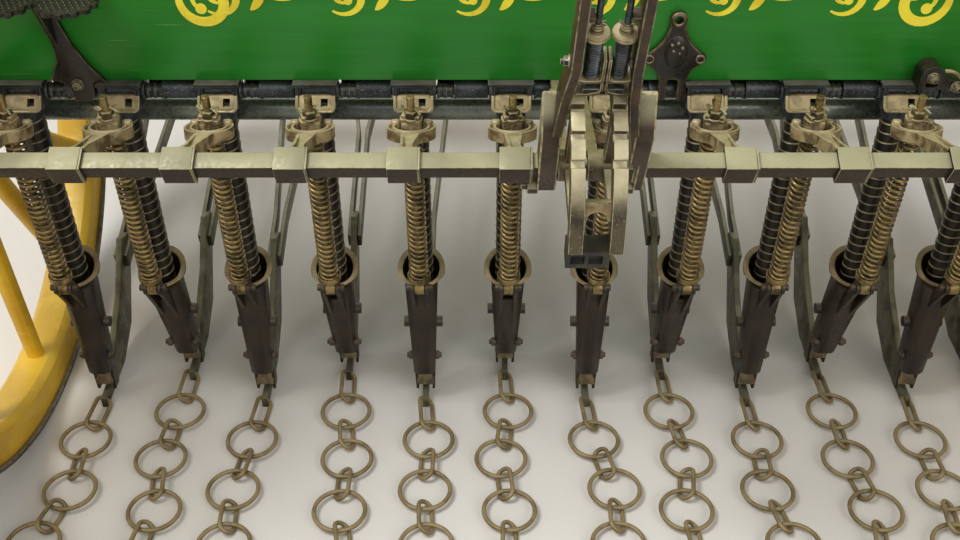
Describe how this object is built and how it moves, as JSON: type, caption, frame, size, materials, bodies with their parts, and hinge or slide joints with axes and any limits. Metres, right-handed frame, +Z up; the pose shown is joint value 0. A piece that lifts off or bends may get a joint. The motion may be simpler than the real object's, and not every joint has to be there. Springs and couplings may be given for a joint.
{
  "type": "horse-drawn grain drill",
  "caption": "Two-wheeled grain drill with a long hopper, runner openers on hinged drag bars, sprung pressure rods, twin lift levers and cover chains.",
  "frame": {"origin": "middle of the machine's outline on the ground", "axes": "+X across the machine to the right seen from behind, +Y towards the pole's tip, +Z up"},
  "size_m": [2.216, 3.5881, 1.3801],
  "materials": {
    "green_enamel": "gloss enamel on boards",
    "yellow_paint": "painted wood",
    "black_paint": "black enamel",
    "cup_iron": "dark cast iron",
    "axle_steel": "dark round steel",
    "shaft_steel": "worn grey-green paint",
    "arm_iron": "pale cast iron",
    "lever_iron": "worn red-brown iron",
    "latch_steel": "blued spring steel",
    "rod_steel": "rusted steel",
    "boot_iron": "dark brown cast iron",
    "blade_steel": "worn steel",
    "chain_steel": "rusted steel wire",
    "tube_steel": "black ribbon steel",
    "tyre_steel": "worn rolled steel"
  },
  "bodies": {
    "root": {"side_bars": "black_paint", "front_sill": "yellow_paint", "drag_rod": "black_paint", "axle": "axle_steel", "axle_bearings": "black_paint", "pole": "yellow_paint", "pole_irons": "black_paint", "box_rear_board": "green_enamel", "box_front_board": "green_enamel", "box_end_boards": "green_enamel", "box_floor": "green_enamel", "box_irons": "black_paint", "hinge_pins": "black_paint", "feed_cups": "cup_iron", "seed_tubes_left": "tube_steel", "seed_tubes_right": "tube_steel", "gear_case": "black_paint", "shaft_bearings": "black_paint", "lever_stand": "arm_iron", "step": "black_paint", "spade_bracket": "black_paint", "index_bracket": "black_paint"},
    "feed": {"feed_shaft": "cup_iron"},
    "lid": {"lid_board": "green_enamel", "lid_hinges": "black_paint"},
    "wheel_left": {"tyre_left": "tyre_steel", "wheel_wood_left": "yellow_paint", "hub_irons_left": "black_paint"},
    "wheel_right": {"tyre_right": "tyre_steel", "wheel_wood_right": "yellow_paint", "hub_irons_right": "black_paint"},
    "lift_left": {"rock_shaft_left": "shaft_steel", "lift_arms_left": "arm_iron", "lever_left": "lever_iron", "latch_left": "latch_steel"},
    "gang_left": {"boots_left": "boot_iron", "runners_left": "blade_steel", "drag_bars_left": "boot_iron", "chains_left": "chain_steel"},
    "rods_left": {"rods_left": "rod_steel", "swivels_left": "arm_iron", "springs_left": "rod_steel"},
    "lift_right": {"rock_shaft_right": "shaft_steel", "lift_arms_right": "arm_iron", "lever_right": "lever_iron", "latch_right": "latch_steel"},
    "gang_right": {"boots_right": "boot_iron", "runners_right": "blade_steel", "drag_bars_right": "boot_iron", "chains_right": "chain_steel"},
    "rods_right": {"rods_right": "rod_steel", "swivels_right": "arm_iron", "springs_right": "rod_steel"}
  },
  "joints": [
    {"name": "wheel_left_spin", "type": "hinge", "parent": "root", "child": "wheel_left", "pos_m": [0, -1.06855, 0.61], "axis": [1, 0, 0], "continuous": true},
    {"name": "wheel_right_spin", "type": "hinge", "parent": "root", "child": "wheel_right", "pos_m": [0, -1.06855, 0.61], "axis": [1, 0, 0], "continuous": true},
    {"name": "feed_spin", "type": "hinge", "parent": "root", "child": "feed", "pos_m": [0, -1.10655, 0.664], "axis": [1, 0, 0], "continuous": true},
    {"name": "lid", "type": "hinge", "parent": "root", "child": "lid", "pos_m": [0, -0.78955, 1.072], "axis": [-1, 0, 0], "range_deg": [0, 105]},
    {"name": "lift_left", "type": "hinge", "parent": "root", "child": "lift_left", "pos_m": [0, -1.39355, 0.708], "axis": [1, 0, 0], "range_deg": [0, 30]},
    {"name": "gang_left", "type": "hinge", "parent": "root", "child": "gang_left", "pos_m": [0, -0.26855, 0.3], "axis": [-1, 0, 0], "range_deg": [0, 6.21], "deforming": ["seed_tubes_left"]},
    {"name": "rods_left", "type": "hinge", "parent": "gang_left", "child": "rods_left", "pos_m": [0, -1.17255, 0.318], "axis": [1, 0, 0], "range_deg": [0, 7.49], "deforming": ["springs_left"]},
    {"name": "lift_right", "type": "hinge", "parent": "root", "child": "lift_right", "pos_m": [0, -1.39355, 0.708], "axis": [1, 0, 0], "range_deg": [0, 30]},
    {"name": "gang_right", "type": "hinge", "parent": "root", "child": "gang_right", "pos_m": [0, -0.26855, 0.3], "axis": [-1, 0, 0], "range_deg": [0, 6.21], "deforming": ["seed_tubes_right"]},
    {"name": "rods_right", "type": "hinge", "parent": "gang_right", "child": "rods_right", "pos_m": [0, -1.17255, 0.318], "axis": [1, 0, 0], "range_deg": [0, 7.49], "deforming": ["springs_right"]}
  ],
  "couplings": [
    {"joint": "feed_spin", "follows": "wheel_right_spin", "ratio": -1.5},
    {"joint": "gang_left", "follows": "lift_left", "ratio": 0.20667},
    {"joint": "rods_left", "follows": "lift_left", "ratio": 0.24933},
    {"joint": "gang_right", "follows": "lift_right", "ratio": 0.20667},
    {"joint": "rods_right", "follows": "lift_right", "ratio": 0.24933}
  ]
}
